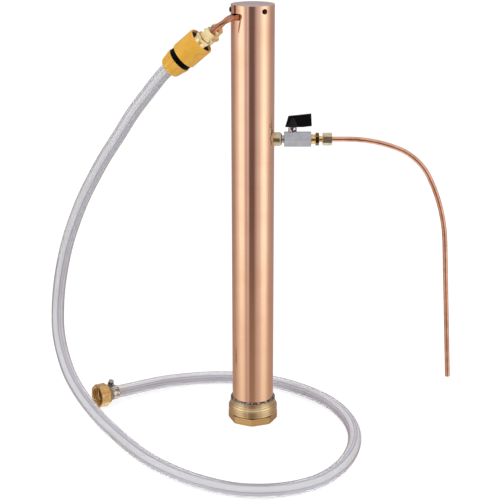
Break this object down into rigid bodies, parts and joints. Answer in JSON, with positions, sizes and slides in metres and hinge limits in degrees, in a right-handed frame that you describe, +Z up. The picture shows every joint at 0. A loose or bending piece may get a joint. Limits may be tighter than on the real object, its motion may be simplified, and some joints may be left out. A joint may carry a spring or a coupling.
{
  "type": "still column head with cooling coil",
  "caption": "Upright copper column with a threaded base, a cooling coil inside, a side ball valve with a bent spout, and a hose with a quick connector.",
  "frame": {"origin": "centre of the base fitting's bottom face, on the column's axis", "axes": "+Z up the column, +X towards the take-off valve and spout, -Y the front"},
  "size_m": [0.5363, 0.3508, 0.551],
  "materials": {
    "column_copper": "polished copper",
    "cap_copper": "pickled copper sheet",
    "tail_copper": "handled copper tube",
    "inner_copper": "copper",
    "copper_mesh": "knitted copper wire, rolled",
    "black_steel": "black oxide",
    "turned_brass": "cast and turned",
    "solder": "dull solder",
    "fitting_brass": "machined",
    "nickel": "satin nickel plate",
    "bright_chrome": "bright chrome plate",
    "clamp_steel": "stainless",
    "white_plastic": "plain",
    "lever_black": "moulded",
    "black_plastic": "moulded",
    "amber_plastic": "moulded",
    "seal_rubber": "smooth",
    "clear_vinyl": "clear flexible hose"
  },
  "bodies": {
    "column": {"column_tube": "column_copper", "top_cap": "cap_copper", "cap_screws": "black_steel", "base_fitting": "turned_brass", "solder_bead": "solder", "condenser_coil": "inner_copper", "front_tail": "tail_copper", "rear_tail": "tail_copper", "upper_plate": "inner_copper", "lower_plate": "inner_copper", "mesh_rolls": "copper_mesh", "support_screen": "inner_copper", "outlet_bushing": "fitting_brass", "valve_body": "nickel", "valve_insert": "nickel", "valve_seats": "white_plastic", "stem_packing": "white_plastic", "stem_nut": "bright_chrome", "spout_adapter": "fitting_brass", "spout_ferrule": "fitting_brass", "spout_nut": "fitting_brass", "outlet_spout": "tail_copper", "front_nut": "fitting_brass", "front_ferrule": "fitting_brass", "front_nipple": "fitting_brass", "front_oring": "seal_rubber", "rear_nut": "fitting_brass", "rear_ferrule": "fitting_brass", "rear_nipple": "fitting_brass", "rear_oring": "seal_rubber", "connector_body": "black_plastic", "connector_spring": "bright_chrome", "connector_claws": "nickel", "hose_grip": "white_plastic", "connector_collar": "amber_plastic", "hose": "clear_vinyl", "hose_barb": "fitting_brass", "hose_washer": "seal_rubber", "clamp_band": "clamp_steel", "clamp_housing": "clamp_steel", "clamp_screw": "clamp_steel"},
    "valve_handle": {"valve_lever": "lever_black", "valve_stem": "fitting_brass", "valve_ball": "bright_chrome", "lever_screw": "nickel"},
    "release_sleeve": {"connector_sleeve": "amber_plastic"},
    "hose_nut": {"swivel_nut": "fitting_brass"}
  },
  "joints": [
    {"name": "lever_turn", "type": "hinge", "parent": "column", "child": "valve_handle", "pos_m": [0.0498, 0, 0.381], "axis": [0, 0.1045, 0.9945], "range_deg": [-90, 0]},
    {"name": "sleeve_slide", "type": "slide", "parent": "column", "child": "release_sleeve", "axis": [-0.7287, 0.2214, -0.6481], "range_m": [0, 0.0045], "stiffness_N_per_m": 400, "springref_m": -0.002, "deforming": ["connector_spring"]},
    {"name": "nut_spin", "type": "hinge", "parent": "column", "child": "hose_nut", "pos_m": [-0.212, 0.031, 0.0158], "axis": [0.8078, 0.5869, -0.0541], "continuous": true}
  ]
}
